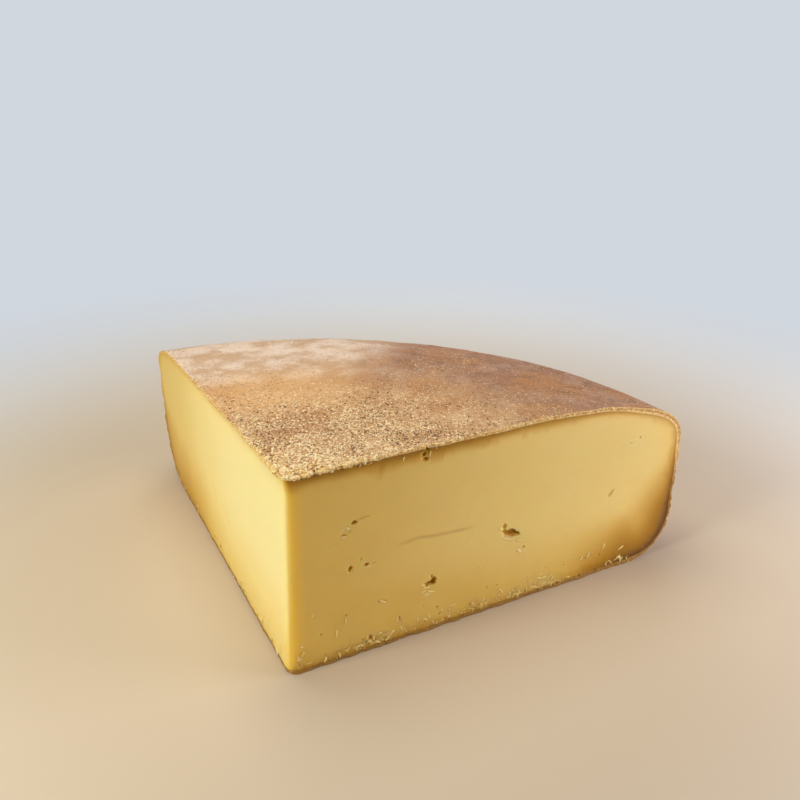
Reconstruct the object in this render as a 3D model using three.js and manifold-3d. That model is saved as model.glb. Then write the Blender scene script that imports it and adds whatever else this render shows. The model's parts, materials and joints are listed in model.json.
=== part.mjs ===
// A quarter of a raclette cheese wheel, cut square through its middle and lying on its base.
// The rind covers the top, the rounded rim and the base. The two cut faces show the paste, with its
// small eyes and slits, and meet in the upright edge where the middle of the wheel was.
// Millimetres, +Z up. The origin lies on the plane that the piece rests on, under the middle of its
// bounding box, and the upright edge faces -Y.
import * as THREE from 'three';
import { mergeVertices } from 'three/addons/utils/BufferGeometryUtils.js';
import Module from 'manifold-3d';

const wasm = await Module();
wasm.setup();

// Driving dimensions of the wheel
const WHEEL_HEIGHT = 67.5;
const CUT_ANGLE = Math.PI / 2;

// The wheel has settled unevenly, so its section changes evenly from one cut to the other. At the right
// cut the top stays level and rolls over a wide soft shoulder. At the left cut it falls towards the rim,
// above a tighter shoulder and a rounder foot.
const RIGHT_SECTION = { radius: 149.3, fall: 0.3, reach: 70, drop: 21, power: 2.4, footReach: 19, footRise: 21 };
const LEFT_SECTION = { radius: 152.5, fall: 7.2, reach: 24, drop: 12, power: 2.2, footReach: 26, footRise: 27 };
const FOOT_POWER = 2.2;

// Dents and swellings of the rind, and their size along the surface
const RIND_RELIEF = 0.3;
const RIND_GRAIN = 13;
const RELIEF_START = 22; // full above this height, because the weight presses the base flat

// The knife leant over near the upright edge of the left cut
const LEAN = 1.9; // how far the edge's top is from its foot
const LEAN_PIVOT = 0.35; // share of the height at which the edge stays in place

// The torn crust along the rim of each cut face
const LIP_OUT = 0.4; // how far it stands out of the face
const LIP_TEAR = 0.35; // how raggedly it runs
const APEX_TEAR = { right: 1.8, left: 0.4 }; // how much more ragged the top's crust is near the upright edge
const APEX_TEAR_SPAN = 16;
const APEX_HELD = 5; // the crust is whole this near to the upright edge
const CRUST_DEPTHS = [0, 1.1, 2.6]; // below the rind: the crust's edge, its foot, and the plain paste
const LIP_FADE = [1, 0.4, 0];

// Mesh sizes
const RUN_STEPS = [18, 9, 7, 24, 24]; // rows of the base, the foot, the side, the shoulder and the top
const ROW_STEP = 4.2; // along a row of the rind
const BASE_ROW_STEP = 9;
const EDGE_STEPS = 10; // up the upright edge
const EDGE_WANDER = 0.25;
const FLAT_BOW = 0.05;

// Eyes of the right cut face, as seen in it: distance from the upright edge and height above the base
// of the middle, then the opening's length and height, the depth, and the tilt in degrees
const RIGHT_EYES = [
  { along: 77.6, up: 27.8, length: 9.2, height: 3.4, depth: 7, tilt: -12, detail: 4 },
  { along: 75.2, up: 30.6, length: 2.2, height: 4.2, depth: 4, tilt: 8, detail: 2 },
  { along: 82.6, up: 20.8, length: 3.6, height: 1.2, depth: 1.2, tilt: -14, detail: 1 },
  { along: 46.4, up: 17.9, length: 4.4, height: 1.6, depth: 3.5, tilt: 4, detail: 2 },
  { along: 48.8, up: 18.8, length: 2.8, height: 3.6, depth: 5, tilt: 0, detail: 3 },
  { along: 21.2, up: 47.6, length: 2.6, height: 2.2, depth: 3, tilt: 20, detail: 3 },
  { along: 24.6, up: 48.4, length: 5.2, height: 0.7, depth: 1.2, tilt: 10, detail: 1 },
  { along: 17.6, up: 44.1, length: 2.8, height: 0.9, depth: 1.4, tilt: -16, detail: 1 },
  { along: 19.8, up: 32.1, length: 1.9, height: 2.8, depth: 2, tilt: -12, detail: 2 },
  { along: 25.2, up: 32.6, length: 4.4, height: 1.4, depth: 1.8, tilt: -34, detail: 2 },
  { along: 30.6, up: 17.3, length: 3.6, height: 1.1, depth: 1.5, tilt: -26, detail: 1 },
  { along: 19, up: 16.2, length: 2.2, height: 0.9, depth: 1, tilt: 12, detail: 1 },
  { along: 118.4, up: 31.5, length: 2.6, height: 0.9, depth: 1.4, tilt: 24, detail: 1 },
  { along: 129.6, up: 51.4, length: 1.3, height: 1.1, depth: 1.4, tilt: 0, detail: 1 },
  { along: 125.4, up: 50.3, length: 2.2, height: 0.8, depth: 1, tilt: 16, detail: 1 },
  { along: 44.8, up: 65, length: 1.5, height: 6.4, depth: 2.2, tilt: 6, detail: 2 },
];

// The left face is nearly closed: two shallow dents
const LEFT_EYES = [
  { along: 60, up: 24.4, length: 2.4, height: 3.4, depth: 0.7, tilt: 0, detail: 1 },
  { along: 73.5, up: 27, length: 3, height: 2, depth: 0.6, tilt: 20, detail: 1 },
];

const EYE_RAGGED = 0.32;
const EYE_POINTED = 0.55;

// A closed slit between two pressed curds, across the right face
const SEAM = { along: 51, up: 34.6, length: 33, height: 0.5, depth: 0.8, tilt: -6, detail: 3 };

// Small torn pits near the base of the cut faces
const PITS = { count: { right: 26, left: 7 }, from: 10, to: 128, lowest: 2.6, rise: 9, size: 1.1 };

const PASTE = new THREE.MeshStandardMaterial({ color: 0xdcbb75, roughness: 0.5, metalness: 0 });

function seededRandom(seed) {
  let state = seed;
  return () => {
    state = (state + 0x6d2b79f5) | 0;
    let t = Math.imul(state ^ (state >>> 15), 1 | state);
    t = (t + Math.imul(t ^ (t >>> 7), 61 | t)) ^ t;
    return ((t ^ (t >>> 14)) >>> 0) / 4294967296;
  };
}

function latticeValue(x, y, z) {
  const mixed = Math.imul(x, 73856093) ^ Math.imul(y, 19349663) ^ Math.imul(z, 83492791);
  return seededRandom(mixed)() * 2 - 1;
}

const fade = (t) => t * t * (3 - 2 * t);

// Smooth noise from -1 to 1 with a cell size of 1
function noise(x, y, z) {
  const [ix, iy, iz] = [x, y, z].map(Math.floor);
  const [fx, fy, fz] = [fade(x - ix), fade(y - iy), fade(z - iz)];
  let sum = 0;
  for (const dx of [0, 1]) {
    for (const dy of [0, 1]) {
      for (const dz of [0, 1]) {
        const weight = (dx ? fx : 1 - fx) * (dy ? fy : 1 - fy) * (dz ? fz : 1 - fz);
        sum += weight * latticeValue(ix + dx, iy + dy, iz + dz);
      }
    }
  }
  return sum;
}

// A quarter of a superellipse, from one angle to another about its centre
class CornerCurve extends THREE.Curve {
  constructor(centre, reach, height, power, from, to) {
    super();
    Object.assign(this, { centre, reach, height, power, from, to });
  }

  getPoint(t, target = new THREE.Vector2()) {
    const angle = THREE.MathUtils.lerp(this.from, this.to, t);
    const [outward, upward] = [Math.cos(angle), Math.sin(angle)]
      .map((v) => Math.sign(v) * Math.abs(v) ** (2 / this.power));
    return target.set(this.centre.x + this.reach * outward, this.centre.y + this.height * upward);
  }
}

// The five runs of the wheel's section at an angle from the right cut: the base, the foot, the side, the
// shoulder and the top
function sectionRuns(angle) {
  const section = {};
  for (const key of Object.keys(RIGHT_SECTION)) {
    section[key] = THREE.MathUtils.lerp(RIGHT_SECTION[key], LEFT_SECTION[key], angle / CUT_ANGLE);
  }
  const { radius, reach, drop, power, footReach, footRise } = section;
  const footCentre = new THREE.Vector2(radius - footReach, footRise);
  const shoulderCentre = new THREE.Vector2(radius - reach, WHEEL_HEIGHT - drop);
  const foot = new CornerCurve(footCentre, footReach, footRise, FOOT_POWER, -Math.PI / 2, 0);
  const shoulder = new CornerCurve(shoulderCentre, reach, drop, power, 0, Math.PI / 2);
  const runs = [
    new THREE.LineCurve(new THREE.Vector2(0, 0), foot.getPoint(0)),
    foot,
    new THREE.LineCurve(foot.getPoint(1), shoulder.getPoint(0)),
    shoulder,
    new THREE.LineCurve(shoulder.getPoint(1), new THREE.Vector2(0, WHEEL_HEIGHT)),
  ];
  return { section, runs };
}

// Where the rows of the rind lie: a run of the section and the share of the way along it
function rowPlaces() {
  return RUN_STEPS.flatMap((steps, run) => Array.from({ length: steps }, (_, i) => ({ run, t: i / steps })))
    .concat({ run: RUN_STEPS.length - 1, t: 1 });
}

// The section at an angle as a list of stations, from the middle of the base out round the rim to the
// middle of the top. Each has its radius, its height, the way out of the cheese, and its distance along
// the section.
function sectionStations(angle) {
  const { section, runs } = sectionRuns(angle);
  const points = rowPlaces().map(({ run, t }) => {
    const point = runs[run].getPoint(t);
    point.y -= section.fall * (point.x / section.radius) * (point.y / WHEEL_HEIGHT);
    return point;
  });
  let travelled = 0;
  return points.map((point, i) => {
    const before = points[Math.max(i - 1, 0)];
    const after = points[Math.min(i + 1, points.length - 1)];
    const along = after.clone().sub(before).normalize();
    travelled += i ? point.distanceTo(before) : 0;
    return { r: Math.max(point.x, 0), z: point.y, out: new THREE.Vector2(along.y, -along.x), travelled };
  });
}

// The upright edge stands on the middle of the bounding box's front side.
const EDGE_X = (LEFT_SECTION.radius - RIGHT_SECTION.radius) * Math.SQRT1_2 / 2;
const EDGE_Y = -(LEFT_SECTION.radius + RIGHT_SECTION.radius) / 4;

// The ways along each cut face, and out of it
const ALONG = {
  right: new THREE.Vector3(Math.SQRT1_2, Math.SQRT1_2, 0),
  left: new THREE.Vector3(-Math.SQRT1_2, Math.SQRT1_2, 0),
};
const FACE_OUT = { right: ALONG.left.clone().negate(), left: ALONG.right.clone().negate() };

// A point of the wheel as a point of the model, with the left cut's lean. Angle 0 is the right cut face.
function wheelPoint(r, angle, z) {
  const heading = Math.PI / 4 + angle;
  const point = new THREE.Vector3(EDGE_X + r * Math.cos(heading), EDGE_Y + r * Math.sin(heading), z);
  const lean = LEAN * (z / WHEEL_HEIGHT - LEAN_PIVOT) * Math.max(1 - r / RIGHT_SECTION.radius, 0);
  return point.addScaledVector(ALONG.right, lean);
}

// The rind at a station, with its dents, or the same point at some depth below it
function rindPoint(station, angle, depth = 0) {
  const { r, z, out } = station;
  const grain = [r * Math.cos(angle), r * Math.sin(angle), z].map((v) => v / RIND_GRAIN);
  const dents = noise(...grain) + 0.5 * noise(...grain.map((v) => 2.3 * v + 9));
  const lift = fade(Math.min(z / RELIEF_START, 1)) * RIND_RELIEF * dents;
  return wheelPoint(r + out.x * (lift - depth), angle, z + out.y * (lift - depth));
}

// How far the torn crust stands out of a cut face at a station, and how far it strays up or down
function crustTear(station, side) {
  const onTop = station.z > 0;
  const row = side === 'right' ? 0 : 40;
  const nearEdge = onTop ? APEX_TEAR[side] * Math.exp(-station.r / APEX_TEAR_SPAN) : 0;
  const ragged = fade(Math.min(station.r / APEX_HELD, 1)) * (1 + nearEdge);
  const out = Math.max(LIP_OUT + LIP_TEAR * noise(station.travelled / 2.1, row, 3), 0);
  const stray = onTop ? LIP_TEAR * noise(station.travelled / 2.7, row, 8) / 2 : 0;
  return { out: ragged * out, stray: ragged * stray };
}

// Collects points and triangles of one closed surface.
class Surface {
  constructor() {
    this.points = [];
    this.triangles = [];
  }

  add(point) {
    this.points.push(point.x, point.y, point.z);
    return this.points.length / 3 - 1;
  }

  triangle(a, b, c, flipped = false) {
    if (a === b || b === c || a === c) return;
    this.triangles.push(a, flipped ? c : b, flipped ? b : c);
  }

  // The strip between two rows of points that run the same way and may have different counts
  zip(row, next) {
    let [i, j] = [0, 0];
    while (i < row.length - 1 || j < next.length - 1) {
      const stepRow = j === next.length - 1
        || (i < row.length - 1 && (i + 1) / (row.length - 1) <= (j + 1) / (next.length - 1));
      this.triangle(row[i], stepRow ? row[i + 1] : next[j + 1], next[j]);
      if (stepRow) i += 1;
      else j += 1;
    }
  }

  manifold() {
    return new wasm.Manifold(new wasm.Mesh({
      numProp: 3,
      vertProperties: new Float32Array(this.points),
      triVerts: new Uint32Array(this.triangles),
    }));
  }
}

// The rows of the rind, each from the right cut round to the left one. The ends of a row carry the torn
// crust; at the wheel's middle a row is a single point.
function addRindRows(surface, faces) {
  return faces.right.map((first, k) => {
    const step = first.z > 0 ? ROW_STEP : BASE_ROW_STEP;
    const count = first.r > 0 ? Math.max(1, Math.round(first.r * CUT_ANGLE / step)) : 0;
    if (count === 0) return [surface.add(rindPoint(first, 0))];
    return Array.from({ length: count + 1 }, (_, i) => {
      const angle = CUT_ANGLE * i / count;
      const station = sectionStations(angle)[k];
      const point = rindPoint(station, angle);
      const side = { 0: 'right', [count]: 'left' }[i];
      if (side) {
        const tear = crustTear(station, side);
        point.addScaledVector(FACE_OUT[side], tear.out);
        point.z += tear.stray;
      }
      return surface.add(point);
    });
  });
}

// The upright edge between the two crusts, from the top down, with the knife's slight wander
function addEdge(surface) {
  const inner = CRUST_DEPTHS.at(-1);
  const indices = [];
  for (let i = 1; i < EDGE_STEPS; i += 1) {
    const z = THREE.MathUtils.lerp(WHEEL_HEIGHT - inner, inner, i / EDGE_STEPS);
    const point = wheelPoint(0, 0, z);
    point.x += EDGE_WANDER * noise(z / 11, 5, 1);
    indices.push(surface.add(point));
  }
  return indices;
}

// Rings of points on one cut face, parallel to the rind at each crust depth. The ends of the inner rings
// lie on the upright edge, which both faces share.
function addFaceRings(surface, stations, rows, side, shared) {
  const angle = side === 'right' ? 0 : CUT_ANGLE;
  return CRUST_DEPTHS.map((depth, k) => stations.map((station, i) => {
    if (k === 0) return side === 'right' ? rows[i][0] : rows[i].at(-1);
    const onEdge = station.r === 0;
    if (onEdge && shared[k]?.[i] !== undefined) return shared[k][i];
    const point = rindPoint(station, angle, depth);
    if (!onEdge) point.addScaledVector(FACE_OUT[side], LIP_FADE[k] * crustTear(station, side).out);
    const index = surface.add(point);
    if (onEdge) (shared[k] ??= {})[i] = index;
    return index;
  }));
}

// A point of a cut face's outline in the plane of the face. The outline is bowed outwards a little, because
// the triangulation leaves out points that lie on a straight line.
function flatPoint(surface, index, side) {
  const [x, y, z] = surface.points.slice(3 * index, 3 * index + 3);
  const along = new THREE.Vector3(x - EDGE_X, y - EDGE_Y, 0).dot(ALONG[side]);
  const [u, v] = [2 * along / RIGHT_SECTION.radius - 1, 2 * z / WHEEL_HEIGHT - 1];
  return new THREE.Vector2(u * (1 - FLAT_BOW * v * v), v * (1 - FLAT_BOW * u * u));
}

// One cut face: strips down the torn crust, then the flat paste inside them
function addCutFace(surface, stations, rows, edge, side, shared) {
  const flipped = side === 'left';
  const rings = addFaceRings(surface, stations, rows, side, shared);
  for (let k = 1; k < rings.length; k += 1) {
    const [outer, inner] = [rings[k - 1], rings[k]];
    for (let i = 1; i < stations.length; i += 1) {
      surface.triangle(outer[i - 1], outer[i], inner[i - 1], flipped);
      surface.triangle(outer[i], inner[i], inner[i - 1], flipped);
    }
  }
  const outline = [...rings.at(-1), ...edge];
  const flat = outline.map((index) => flatPoint(surface, index, side));
  for (const [a, b, c] of THREE.ShapeUtils.triangulateShape(flat, [])) {
    const clockwise = THREE.ShapeUtils.area([flat[a], flat[b], flat[c]]) < 0;
    surface.triangle(outline[a], outline[b], outline[c], clockwise !== flipped);
  }
}

function quarterWheel() {
  const surface = new Surface();
  const faces = { right: sectionStations(0), left: sectionStations(CUT_ANGLE) };
  const rows = addRindRows(surface, faces);
  for (let i = 1; i < rows.length; i += 1) surface.zip(rows[i - 1], rows[i]);
  const edge = addEdge(surface);
  const shared = {};
  for (const side of ['right', 'left']) addCutFace(surface, faces[side], rows, edge, side, shared);
  return surface.manifold();
}

// A geometry as a solid, with its corners merged
function solidOf(geometry) {
  for (const name of ['normal', 'uv']) geometry.deleteAttribute(name);
  const merged = mergeVertices(geometry, 1e-4);
  return new wasm.Manifold(new wasm.Mesh({
    numProp: 3,
    vertProperties: merged.attributes.position.array,
    triVerts: new Uint32Array(merged.index.array),
  }));
}

// The hollow of one eye: a ragged lens, pointed at its two ends, sunk into a cut face
function eyeHollow(eye, side, seed) {
  const geometry = new THREE.IcosahedronGeometry(1, eye.detail);
  const position = geometry.attributes.position;
  const point = new THREE.Vector3();
  for (let i = 0; i < position.count; i += 1) {
    point.fromBufferAttribute(position, i);
    const rough = 1 + EYE_RAGGED * noise(3 * point.x + seed, 2 * point.y, 2.5 * point.z);
    const pointed = 1 - EYE_POINTED * point.x ** 2;
    point.multiply(new THREE.Vector3(eye.length / 2, eye.depth, pointed * eye.height / 2));
    position.setXYZ(i, ...point.multiplyScalar(rough).toArray());
  }
  geometry.rotateY(-THREE.MathUtils.degToRad(eye.tilt));
  // the hollow's depth runs into the right face but out of the left one, so that neither is turned inside out
  const deep = side === 'right' ? ALONG.left : ALONG.right.clone().negate();
  geometry.applyMatrix4(new THREE.Matrix4().makeBasis(ALONG[side], deep, new THREE.Vector3(0, 0, 1)));
  const middle = wheelPoint(eye.along, side === 'right' ? 0 : CUT_ANGLE, eye.up);
  geometry.translate(middle.x, middle.y, middle.z);
  return solidOf(geometry);
}

// Where the torn pits near the base lie, more of them close to it
function tornPits(random, count) {
  return Array.from({ length: count }, () => {
    const size = PITS.size * (0.6 + random());
    return {
      along: THREE.MathUtils.lerp(PITS.from, PITS.to, random()),
      up: PITS.lowest + PITS.rise * random() ** 2,
      length: size * (1 + random()),
      height: size,
      depth: 0.7 * size,
      tilt: 50 * (random() - 0.5),
      detail: 0,
    };
  });
}

function cutEyes(solid) {
  const random = seededRandom(7);
  const eyes = {
    right: [...RIGHT_EYES, SEAM, ...tornPits(random, PITS.count.right)],
    left: [...LEFT_EYES, ...tornPits(random, PITS.count.left)],
  };
  let cut = solid;
  for (const side of ['right', 'left']) {
    eyes[side].forEach((eye, i) => {
      cut = cut.subtract(eyeHollow(eye, side, 10 * i));
    });
  }
  return cut;
}

function geometryOf(solid) {
  const mesh = solid.getMesh();
  const geometry = new THREE.BufferGeometry();
  geometry.setAttribute('position', new THREE.BufferAttribute(mesh.vertProperties, 3));
  geometry.setIndex(new THREE.BufferAttribute(mesh.triVerts, 1));
  geometry.computeVertexNormals();
  return geometry;
}

const cheese = new THREE.Mesh(geometryOf(cutEyes(quarterWheel())), PASTE);
cheese.name = 'quarter_wheel';

const part = new THREE.Group();
part.add(cheese);

export default part;
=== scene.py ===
# A quarter of a raclette cheese wheel, cut square through its middle and lying on its base. The shape is a
# field of distances to the cheese's surface, in millimetres, which becomes a mesh. Its axes are those of
# the cut faces: u along the right cut face, v along the left one, and z up, from the foot of the upright
# edge. The last step moves every piece from there to the frame, in metres.
import json
import math

import bmesh
import bpy
import numpy as np
import openvdb
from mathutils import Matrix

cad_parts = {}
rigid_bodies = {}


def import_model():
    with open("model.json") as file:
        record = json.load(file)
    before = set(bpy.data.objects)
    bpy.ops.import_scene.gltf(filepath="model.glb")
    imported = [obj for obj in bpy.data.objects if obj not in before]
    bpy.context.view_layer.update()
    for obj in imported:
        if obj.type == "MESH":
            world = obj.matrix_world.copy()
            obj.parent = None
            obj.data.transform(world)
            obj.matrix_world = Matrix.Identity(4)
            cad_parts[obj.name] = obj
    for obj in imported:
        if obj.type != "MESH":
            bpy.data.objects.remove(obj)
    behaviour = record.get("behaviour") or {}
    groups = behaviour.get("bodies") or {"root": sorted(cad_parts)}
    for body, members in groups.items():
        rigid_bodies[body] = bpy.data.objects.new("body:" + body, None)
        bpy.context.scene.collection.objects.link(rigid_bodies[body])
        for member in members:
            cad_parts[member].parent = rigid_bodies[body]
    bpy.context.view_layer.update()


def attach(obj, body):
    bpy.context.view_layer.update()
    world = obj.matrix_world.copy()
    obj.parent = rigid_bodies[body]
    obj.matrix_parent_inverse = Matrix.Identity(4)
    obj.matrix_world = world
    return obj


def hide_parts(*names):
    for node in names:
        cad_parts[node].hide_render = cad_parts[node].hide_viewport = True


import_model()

MM = 0.001

# Driving dimensions of the wheel: its height, the height that no grain or crumb passes, and the section at
# each cut. The top falls by an amount towards the rim, and the shoulder and the foot are quarter
# superellipses, each with a reach inwards and a height.
WHEEL_HEIGHT = 67.5
HIGHEST = 67.8
RIGHT_SECTION = {
    "radius": 149.3,
    "fall": 0.3,
    "reach": 70,
    "drop": 21,
    "power": 2.4,
    "foot_reach": 19,
    "foot_rise": 21,
}
LEFT_SECTION = {
    "radius": 152.5,
    "fall": 7.2,
    "reach": 24,
    "drop": 12,
    "power": 2.2,
    "foot_reach": 26,
    "foot_rise": 27,
}
FOOT_POWER = 2.2

# How far the left cut leans over its height, which fades out towards the rim, and the share of the height
# where it stays in place
LEAN = 1.9
LEAN_PIVOT = 0.35

# Where the upright edge stands in the frame
EDGE_X = (LEFT_SECTION["radius"] - RIGHT_SECTION["radius"]) * math.sqrt(0.5) / 2
EDGE_Y = -(LEFT_SECTION["radius"] + RIGHT_SECTION["radius"]) / 4

# Mesh sizes. The grid is filled slab by slab, and details are worked out within the band around the surface.
FIELD_STEP = 0.4
FIELD_MARGIN = 2.4
FIELD_CLIP = 3 * FIELD_STEP
FIELD_SLAB = 16
BAND = 1.7
BODY_TRIANGLES = 165000
SHARP_ANGLE = 38

# How many grains, crumbs and flakes there are
SCATTER_SHARE = 1
GRAINS = int(23000 * SCATTER_SHARE)
CRUMBS = int(2350 * SCATTER_SHARE)
FLAKES = int(270 * SCATTER_SHARE)

# Relief of the rind: size, height and place in the noise of its dents, the height above the base where it is
# full, and how far it lies below the smooth shape, so that grains on it stay inside
RIND_DENTS = ((13, 0.3, 0), (5.6, 0.15, 9), (2.6, 0.07, 18))
RELIEF_FULL = 22
RELIEF_SUNK = 0.45

# How softly the two cut faces meet in the upright edge, and over how much their looks change there
EDGE_SOFT = 3.6
LOOK_SOFT = 4

# Slow waves of the cut faces: size, height and place in the noise
FACE_WAVES = ((24, 0.12, 2), (5, 0.03, 7))

# The torn crust, which stands out of the cut faces under the rind: how far, how unevenly, its waves as above,
# its share along the rim and at the foot up to a height, and its share at depths under the rind
LIP_OUT = 0.35
LIP_TEAR = 0.5
LIP_WAVES = ((2.1, 1, 3), (0.9, 0.6, 5))
LIP_BEYOND = 0.7
LIP_AT_FOOT = 0.25
LIP_FOOT_HEIGHT = 12
LIP_DEPTHS = (0, 1.1, 2.6)
LIP_SHARES = (1, 0.4, 0)

# What is added to that share near the upright edge, how fast it fades, and where the crust starts
APEX_TEAR = 1.6
APEX_TEAR_SPAN = 16
APEX_START = 4

# The noise's rows for the two cut faces, so that they tear differently
RIGHT_ROW = 0.0
LEFT_ROW = 40.0

# Ragged paste above the base of the cut faces: its ridges as above, how fast they fade upwards, how much
# flatter than long they are, and their share on the left face
TORN_RIDGES = ((3.4, 0.3, 11), (1.5, 0.24, 11))
TORN_FLAT = 1.3
TORN_RISE = 3.2
TORN_ON_LEFT = 0.6

# Width of the rind as it shows on the cut faces, before crust_width widens it
CRUST_WIDTH = 0.9

# Eyes and tears of the right cut face: distance along it and height of the middle, then the opening's
# length and height, the depth, and the tilt in degrees
RIGHT_EYES = (
    (77.6, 27.8, 9.0, 3.1, 1.9, -20),
    (74.9, 31.0, 1.6, 3.4, 1.3, 8),
    (83.1, 21.0, 1.3, 1.0, 0.9, 0),
    (46.7, 18.2, 3.4, 1.9, 1.6, -6),
    (48.8, 18.7, 2.6, 3.1, 1.9, 10),
    (47.9, 18.1, 2.4, 1.8, 1.6, 0),
    (48.2, 20.6, 1.0, 1.8, 1.1, 0),
    (21.2, 47.5, 2.1, 1.7, 1.8, 10),
    (17.9, 44.3, 1.8, 0.6, 0.6, -20),
    (19.8, 44.9, 0.5, 1.2, 0.5, -10),
    (23.4, 34.6, 0.6, 1.3, 0.8, -30),
    (25.2, 32.1, 2.0, 1.1, 1.2, -12),
    (27.6, 31.9, 1.4, 0.5, 0.5, 10),
    (19.9, 32.2, 1.7, 2.5, 1.3, -20),
    (29.6, 17.4, 0.8, 1.3, 0.6, 20),
    (31.6, 17.0, 1.2, 0.5, 0.5, -30),
    (118.6, 31.4, 2.1, 0.7, 0.8, 40),
    (118.1, 31.9, 1.3, 0.5, 0.6, -45),
    (129.4, 51.2, 0.9, 0.8, 0.9, 0),
    (125.6, 50.0, 0.8, 0.7, 0.8, 0),
    (44.8, 66.1, 1.1, 2.6, 0.8, 14),
    (43.9, 64.3, 1.7, 2.3, 0.9, -24),
    (44.5, 62.7, 2.6, 1.5, 1.1, -6),
    (45.6, 65.0, 0.9, 1.5, 0.6, 0),
    (26.8, 4.9, 1.6, 1.9, 0.8, 20),
    (25.4, 3.4, 1.2, 0.9, 0.6, -10),
    (36.8, 8.6, 0.9, 1.7, 0.6, 10),
    (18.4, 16.0, 1.1, 0.7, 0.5, 30),
    (10.2, 12.0, 0.8, 1.1, 0.5, 0),
)
EYE_RAGGED = 0.30
EYE_FINELY_RAGGED = 0.35 * EYE_RAGGED
EYE_POINTED = 0.35

# Creases of the cut faces: middle, length, depth, half width and tilt. A negative depth is a ridge.
CREASES = {
    "right": (
        (49.0, 35.1, 36, 0.28, 0.75, -4.6),
        (24.4, 48.1, 5.4, 0.34, 0.3, 6),
        (125.4, 50.4, 9.0, -0.22, 0.35, 12),
        (14.6, 41.8, 5.0, 0.15, 0.6, 14),
    ),
    "left": (
        (59.5, 23.6, 5, -0.3, 1.2, 86),
        (74, 26, 8, 0.25, 1.6, 80),
        (18, 30, 3, -0.2, 0.8, 80),
    ),
}

# Burrs of pale paste that the knife left on the right cut face: middle, length, width and tilt
BURRS = (
    (73.3, 30.6, 1.7, 1.0, -35),
    (76.4, 25.9, 4.6, 0.7, -22),
    (80.9, 24.1, 2.6, 0.6, -16),
    (81.2, 20.0, 2.2, 0.8, -35),
    (119.7, 32.7, 1.7, 0.5, 40),
    (122.4, 49.6, 1.8, 0.4, 12),
    (125.0, 50.8, 1.4, 0.4, 20),
    (46.2, 17.0, 2.2, 0.5, -8),
    (47.8, 14.9, 2.6, 0.6, -20),
    (45.0, 15.6, 1.8, 0.6, 30),
    (18.9, 46.3, 1.5, 0.7, -10),
    (17.6, 43.8, 1.8, 0.4, -20),
    (19.0, 30.9, 1.5, 0.5, -50),
    (25.4, 31.2, 2.2, 0.4, -8),
    (30.7, 17.0, 2.4, 0.6, -28),
    (45.9, 64.2, 2.2, 0.5, 84),
    (37.0, 64.6, 1.6, 0.4, 78),
    (15.4, 10.6, 3.0, 0.5, 86),
    (18.3, 14.2, 2.2, 0.4, 88),
    (7.7, 19.6, 1.8, 0.4, 60),
    (36.0, 8.4, 1.9, 0.4, 75),
    (43.3, 5.8, 1.9, 0.5, 86),
    (47.6, 5.4, 0.9, 0.8, 0),
    (52.1, 6.3, 1.1, 0.6, 30),
    (55.9, 6.7, 2.7, 0.5, 8),
    (55.2, 5.5, 1.6, 0.4, 100),
    (34.4, 4.2, 1.7, 0.9, 30),
    (27.9, 4.4, 1.8, 0.5, 80),
    (30.1, 5.2, 1.0, 0.7, 0),
    (118.4, 10.6, 2.3, 0.8, 60),
    (126.5, 7.5, 2.6, 0.8, 25),
    (111.6, 8.9, 2.5, 0.7, 72),
    (108.5, 8.7, 2.0, 0.6, 55),
    (66.0, 18.6, 0.8, 0.6, 0),
)
BURR_HEIGHT = 0.45

# Burrs and flakes: how much paler and how curled they are, and how deep flakes sit
BURR_PALER, FLAKE_PALER = 0.5, 0.1
BURR_CURL, FLAKE_CURL = 0.1, 0.3
FLAKES_SUNK = 0.12

# Pale patches of paste on the right cut face, partly painted highlight: middle, length, height and tilt
SMEARS_AND_HIGHLIGHTS = (
    (46.6, 14.8, 5.0, 3.0, -10),
    (76.6, 25.6, 9.5, 1.8, -21),
    (73.2, 30.9, 2.4, 2.0, 0),
    (81.3, 20.3, 2.8, 1.8, -30),
    (18.6, 46.0, 2.8, 2.0, 0),
    (20.4, 30.9, 3.2, 1.4, -20),
    (89.9, 62.2, 4.0, 1.4, 0),
    (45.8, 64.0, 1.4, 4.4, 0),
)

# Torn pits near the base of the cut faces: how many, where along them and how high they lie, and their size
PITS = {"right": 34, "left": 8}
PIT_FROM, PIT_TO = 4, 132
PIT_LOWEST, PIT_RISE = 1.4, 9
PIT_SIZE = 0.6

# The camera: place counted from the foot of the upright edge, degrees down and to the left, and focal length
# as a share of the picture's width
CAMERA_PLACE = (91.1, -179.7, 175.8)
CAMERA_DOWN = 23.18
CAMERA_TURN = 17.58
CAMERA_FOCAL = 836 / 800


def seeded(seed):
    return np.random.default_rng(seed)


LATTICE_SIZE = 64
LATTICE = seeded(3).uniform(-1, 1, (LATTICE_SIZE,) * 3).astype(np.float32)
TINY = 1e-3


def noise(x, y, z, size, shift=0.0):
    """Smooth noise from -1 to 1, with cells of one size"""
    cells, shares = [], []
    for value in (x, y, z):
        place = value / size + shift
        cell = np.floor(place)
        share = (place - cell).astype(np.float32)
        cells.append(cell.astype(np.int32) % LATTICE_SIZE)
        shares.append(share * share * (3 - 2 * share))
    total = 0
    for corner in range(8):
        steps = [(corner >> k) & 1 for k in range(3)]
        weight = 1
        for step, share in zip(steps, shares):
            weight = weight * (share if step else 1 - share)
        place = tuple((cell + step) % LATTICE_SIZE for cell, step in zip(cells, steps))
        total = total + weight * LATTICE[place]
    return total


def waves(x, y, z, layers, total=0):
    """Layers of noise added to a total, each with its size, height and place in the noise"""
    for size, height, shift in layers:
        total = total + height * noise(x, y, z, size, shift)
    return total


def fade(t):
    t = np.clip(t, 0, 1)
    return t * t * (3 - 2 * t)


def rise(value, start, end):
    """Goes smoothly from 0 to 1 as the value goes from start to end"""
    return fade((value - start) / (end - start))


def on_right(u, v):
    """1 on the right cut face and 0 on the left one"""
    return fade((u - v) / LOOK_SOFT + 0.5)


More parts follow.
